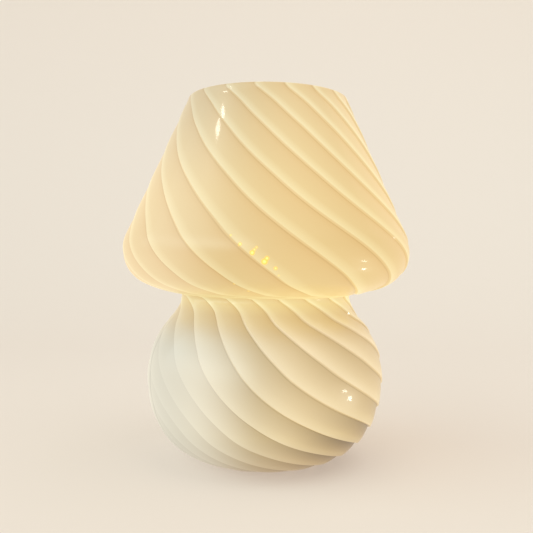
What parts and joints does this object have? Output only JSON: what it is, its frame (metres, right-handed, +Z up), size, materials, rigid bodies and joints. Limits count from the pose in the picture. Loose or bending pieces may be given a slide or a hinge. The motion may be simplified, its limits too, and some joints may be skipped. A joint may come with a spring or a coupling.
{
  "type": "table lamp",
  "caption": "Mushroom-shaped table lamp in one piece of glowing swirl-ribbed glass, open at the top, with a screw-in filament bulb on a short stem inside.",
  "frame": {"origin": "on the table, under the middle of the lamp's foot", "axes": "+Z up along the lamp's axis, -Y towards the viewer of the picture, +Y to the rear, where the cord's inlet is"},
  "size_m": [0.18, 0.18, 0.228],
  "materials": {
    "swirl_glass": "satin",
    "felt": "matt",
    "gasket_rubber": "matt",
    "zinc_steel": "satin",
    "sleeve_paint": "gloss",
    "bushing_plastic": "satin",
    "holder_plastic": "gloss",
    "core_plastic": "matt",
    "shell_brass": "satin",
    "contact_bronze": "satin",
    "cap_nickel": "satin",
    "cap_glass": "gloss",
    "solder": "satin",
    "cement": "matt",
    "clear_glass": "gloss",
    "filament_phosphor": "satin",
    "wire_steel": "gloss",
    "circuit_board": "satin"
  },
  "bodies": {
    "lamp": {"glass_body": "swirl_glass", "foot_pad": "felt", "base_nut": "zinc_steel", "base_washer": "zinc_steel", "base_gasket": "gasket_rubber", "floor_gasket": "gasket_rubber", "floor_washer": "zinc_steel", "floor_nut": "zinc_steel", "stem_tube": "zinc_steel", "stem_sleeve": "sleeve_paint", "cord_bushing": "bushing_plastic", "holder_entry": "zinc_steel", "holder_cap": "holder_plastic", "holder_grub_screw": "zinc_steel", "holder_skirt": "holder_plastic", "holder_liner": "core_plastic", "holder_shell": "shell_brass", "centre_contact": "contact_bronze", "side_contact": "contact_bronze", "terminal_screws": "zinc_steel"},
    "bulb_contact": {"bulb_tip": "solder"},
    "bulb": {"bulb_insulator": "cap_glass", "bulb_cap": "cap_nickel", "bulb_cement": "cement", "bulb_glass": "clear_glass", "bulb_pillar": "clear_glass", "led_filaments": "filament_phosphor", "filament_wires": "wire_steel", "bulb_driver": "circuit_board"}
  },
  "joints": [
    {"name": "bulb_lift", "type": "slide", "parent": "lamp", "child": "bulb_contact", "axis": [0, 0, 1], "range_m": [0, 0.0113]},
    {"name": "bulb_turn", "type": "hinge", "parent": "bulb_contact", "child": "bulb", "pos_m": [0, 0, 0.09], "axis": [0, 0, 1], "range_deg": [0, 1440]}
  ],
  "couplings": [
    {"joint": "bulb_lift", "follows": "bulb_turn", "m_per_rad": 0.00044917}
  ]
}
